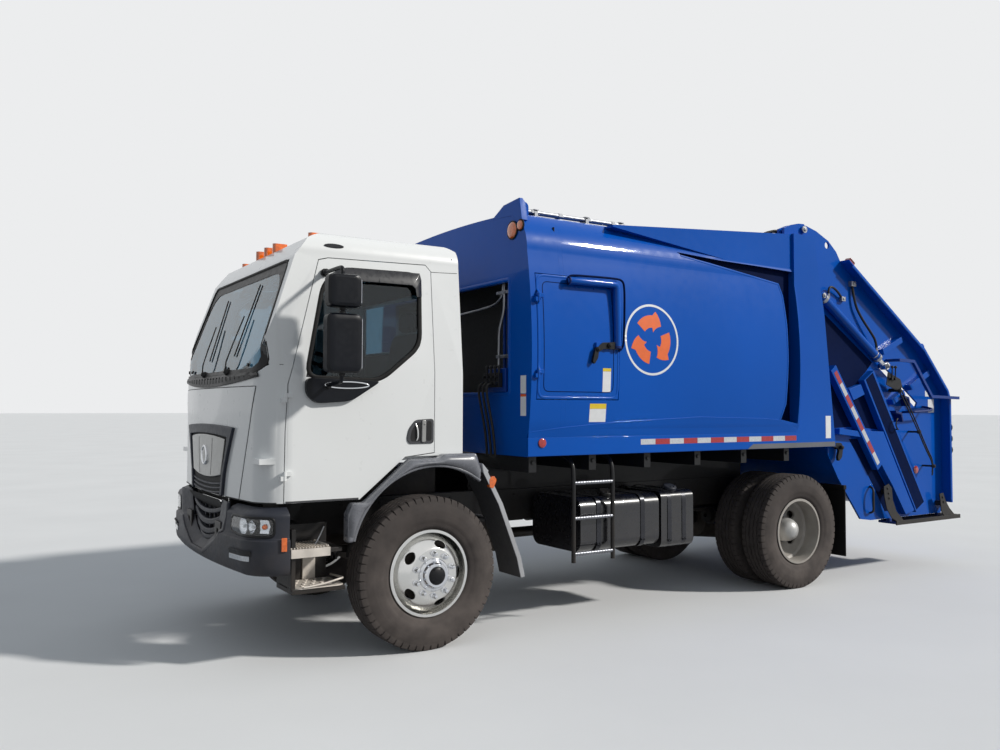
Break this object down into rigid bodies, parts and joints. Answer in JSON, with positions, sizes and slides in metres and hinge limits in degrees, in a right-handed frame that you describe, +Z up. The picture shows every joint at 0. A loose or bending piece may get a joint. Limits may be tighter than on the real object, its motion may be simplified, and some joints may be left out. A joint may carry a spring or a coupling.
{
  "type": "cab-over garbage truck with rear-loading compactor body",
  "caption": "Cab-over truck with hollow rear-loading compactor body, lifting tailgate, sliding packer with sweep blade, tilting cab, opening doors, and steered and rolling wheels.",
  "frame": {"origin": "on the ground under the middle of the truck's length and width", "axes": "+X forward, +Y to the truck's left, +Z up"},
  "size_m": [7.74, 2.8, 3.407],
  "materials": {
    "blue": "gloss",
    "white": "gloss",
    "black_metal": "satin",
    "grey_plastic": "satin",
    "black_plastic": "satin",
    "silver": "gloss",
    "glass": "clear",
    "lamp": "clear",
    "amber": "gloss",
    "red_lamp": "gloss",
    "tyre": "matte",
    "aluminium": "polished",
    "wheel_grey": "satin",
    "steel": "satin",
    "chrome": "polished",
    "cast": "rough",
    "seat": "woven"
  },
  "bodies": {
    "chassis": {"frame_rails": "black_metal", "leaf_springs": "black_metal", "front_axle": "cast", "rear_axle": "cast", "driveshaft": "black_metal", "engine_block": "cast", "radiator": "black_metal", "fuel_tank": "black_metal", "small_tank": "black_metal", "tank_ladder": "black_metal", "battery_box": "black_metal", "air_tanks": "black_metal", "muffler": "steel", "bumper": "grey_plastic", "headlamps": "lamp", "step_wells": "steel", "front_mudguards": "grey_plastic", "mud_flaps": "black_plastic", "body_subframe": "blue", "body_shell": "blue", "roof_pipes": "steel", "valve_box": "blue"},
    "knuckle_left": {"knuckle_left": "cast"},
    "knuckle_right": {"knuckle_right": "cast"},
    "wheel_front_left": {"tyre_front_left": "tyre", "rim_front_left": "aluminium"},
    "wheel_front_right": {"tyre_front_right": "tyre", "rim_front_right": "aluminium"},
    "wheels_rear_left": {"tyres_rear_left": "tyre", "rims_rear_left": "wheel_grey"},
    "wheels_rear_right": {"tyres_rear_right": "tyre", "rims_rear_right": "wheel_grey"},
    "cab": {"cab_shell": "white", "cab_glass": "glass", "front_panel": "silver", "fender_arches": "grey_plastic", "seats": "seat", "dashboard": "black_plastic", "steering_wheel": "black_plastic", "roof_lamps": "amber"},
    "door_left": {"door_left": "white", "door_glass_left": "glass", "mirrors_left": "black_plastic"},
    "door_right": {"door_right": "white", "door_glass_right": "glass", "mirrors_right": "black_plastic"},
    "access_door": {"access_door": "blue"},
    "ejector": {"ejector": "steel"},
    "tailgate": {"tailgate": "blue", "gate_frames": "blue", "packer_barrels": "blue", "rear_steps": "blue", "grab_rails": "black_metal", "tail_lamps": "red_lamp"},
    "packer_carriage": {"packer_carriage": "blue", "packer_rods": "chrome"},
    "sweep_blade": {"sweep_blade": "steel"}
  },
  "joints": [
    {"name": "steer_left", "type": "hinge", "parent": "chassis", "child": "knuckle_left", "pos_m": [2.5875, 0.93, 0.524], "axis": [0, 0, 1], "range_deg": [-35, 35]},
    {"name": "steer_right", "type": "hinge", "parent": "chassis", "child": "knuckle_right", "pos_m": [2.5875, -0.93, 0.524], "axis": [0, 0, 1], "range_deg": [-35, 35]},
    {"name": "spin_front_left", "type": "hinge", "parent": "knuckle_left", "child": "wheel_front_left", "pos_m": [2.5875, 1.046, 0.524], "axis": [0, 1, 0], "continuous": true},
    {"name": "spin_front_right", "type": "hinge", "parent": "knuckle_right", "child": "wheel_front_right", "pos_m": [2.5875, -1.046, 0.524], "axis": [0, 1, 0], "continuous": true},
    {"name": "spin_rear_left", "type": "hinge", "parent": "chassis", "child": "wheels_rear_left", "pos_m": [-1.2725, 0.881, 0.524], "axis": [0, 1, 0], "continuous": true},
    {"name": "spin_rear_right", "type": "hinge", "parent": "chassis", "child": "wheels_rear_right", "pos_m": [-1.2725, -0.881, 0.524], "axis": [0, 1, 0], "continuous": true},
    {"name": "cab_tilt", "type": "hinge", "parent": "chassis", "child": "cab", "pos_m": [3.4875, 0, 1.2], "axis": [0, 1, 0], "range_deg": [0, 50]},
    {"name": "door_left_hinge", "type": "hinge", "parent": "cab", "child": "door_left", "pos_m": [3.5855, 1.068, 1.2], "axis": [0, 0, -1], "range_deg": [0, 70]},
    {"name": "door_right_hinge", "type": "hinge", "parent": "cab", "child": "door_right", "pos_m": [3.5855, -1.068, 1.2], "axis": [0, 0, 1], "range_deg": [0, 70]},
    {"name": "access_door_hinge", "type": "hinge", "parent": "chassis", "child": "access_door", "pos_m": [1.7755, 1.296, 1.88], "axis": [0, 0, -1], "range_deg": [0, 110]},
    {"name": "ejector_slide", "type": "slide", "parent": "chassis", "child": "ejector", "axis": [-1, 0, 0], "range_m": [0, 2.3]},
    {"name": "tailgate_hinge", "type": "hinge", "parent": "chassis", "child": "tailgate", "pos_m": [-1.3725, 0, 3.345], "axis": [0, 1, 0], "range_deg": [0, 80]},
    {"name": "packer_slide", "type": "slide", "parent": "tailgate", "child": "packer_carriage", "axis": [-0.8387, 0, -0.5446], "range_m": [0, 0.7]},
    {"name": "blade_hinge", "type": "hinge", "parent": "packer_carriage", "child": "sweep_blade", "pos_m": [-2.0754, 0, 2.0812], "axis": [0, 1, 0], "range_deg": [0, 95]}
  ],
  "couplings": [
    {"joint": "steer_right", "follows": "steer_left", "ratio": 1}
  ]
}
